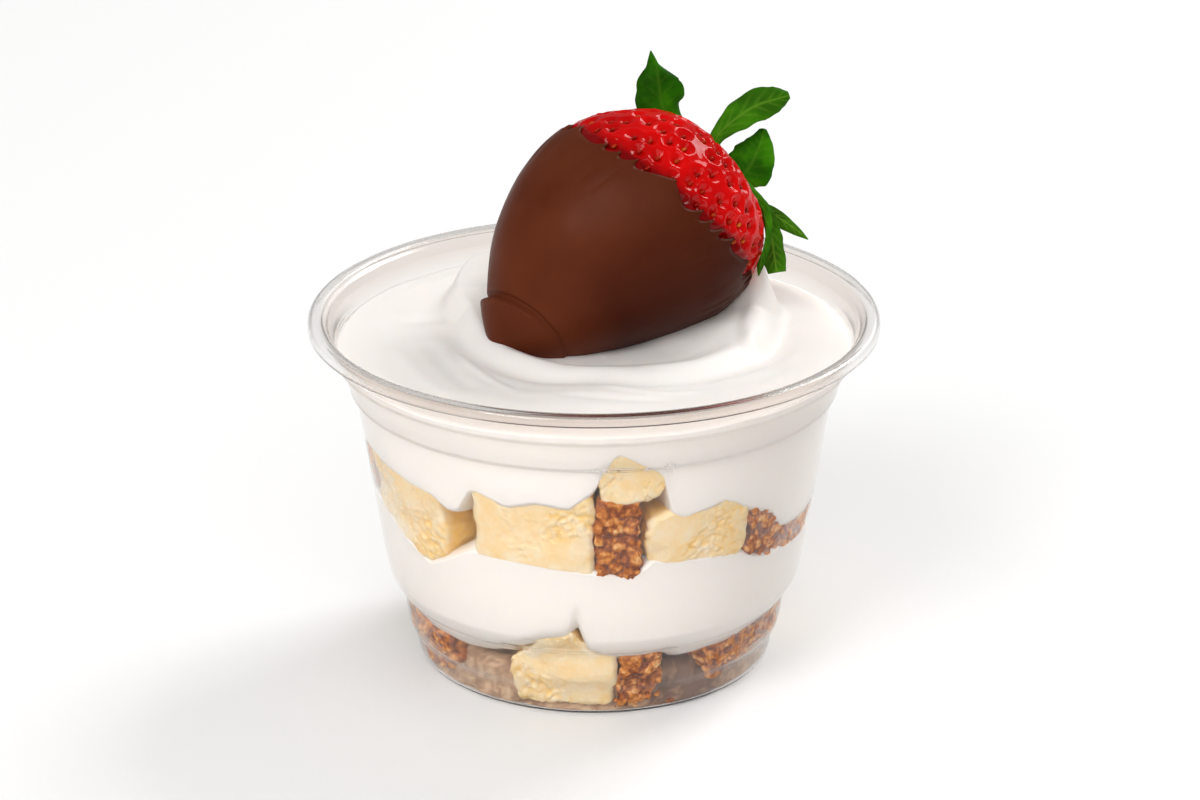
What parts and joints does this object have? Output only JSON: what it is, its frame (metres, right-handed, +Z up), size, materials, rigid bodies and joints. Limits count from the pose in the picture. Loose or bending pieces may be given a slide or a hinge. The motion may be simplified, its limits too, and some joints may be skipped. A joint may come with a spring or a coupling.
{
  "type": "cheesecake cup",
  "caption": "Clear plastic dessert cup filled with whipped cream and cheesecake pieces on biscuit crust, topped with a chocolate-dipped strawberry.",
  "frame": {"origin": "centre of the cup's flat base, on the surface that it stands on", "axes": "+Z up along the cup's axis; -Y towards the side that the dessert is seen from; the strawberry's leaf end points to +X and +Y"},
  "size_m": [0.098, 0.098, 0.0995],
  "materials": {
    "clear_plastic": "clear thermoformed plastic sheet, glossy",
    "whipped_cream": "soft, slightly moist, faint sheen",
    "cheesecake": "dense, moist, finely pored",
    "biscuit_crust": "coarse crumbs bound with butter",
    "strawberry_flesh": "glossy skin with seeds in dimples",
    "milk_chocolate": "set chocolate with a satin sheen",
    "leaf_green": "soft leaf with fine hairs and veins"
  },
  "bodies": {
    "root": {"cake_bottom_back_a": "cheesecake", "cake_bottom_back_b": "cheesecake", "cake_bottom_back_c": "cheesecake", "cake_bottom_back_d": "cheesecake", "cake_bottom_front": "cheesecake", "cake_middle_back_a": "cheesecake", "cake_middle_back_b": "cheesecake", "cake_middle_back_c": "cheesecake", "cake_middle_back_d": "cheesecake", "cake_middle_front": "cheesecake", "cake_middle_left": "cheesecake", "cake_middle_right": "cheesecake", "cake_middle_upper": "cheesecake", "chocolate": "milk_chocolate", "cream_lower": "whipped_cream", "cream_upper": "whipped_cream", "crust_bottom_back_a": "biscuit_crust", "crust_bottom_back_b": "biscuit_crust", "crust_bottom_back_c": "biscuit_crust", "crust_bottom_core": "biscuit_crust", "crust_bottom_front": "biscuit_crust", "crust_bottom_left": "biscuit_crust", "crust_bottom_right": "biscuit_crust", "crust_bottom_right_far": "biscuit_crust", "crust_middle_back_a": "biscuit_crust", "crust_middle_back_b": "biscuit_crust", "crust_middle_back_c": "biscuit_crust", "crust_middle_back_d": "biscuit_crust", "crust_middle_dark": "biscuit_crust", "crust_middle_front": "biscuit_crust", "crust_middle_left": "biscuit_crust", "crust_middle_right": "biscuit_crust", "cup": "clear_plastic", "leaf_back": "leaf_green", "leaf_behind": "leaf_green", "leaf_curled": "leaf_green", "leaf_lower": "leaf_green", "leaf_narrow": "leaf_green", "leaf_pointing": "leaf_green", "leaf_right": "leaf_green", "leaf_upright": "leaf_green", "stem": "leaf_green", "strawberry": "strawberry_flesh"}
  },
  "joints": []
}
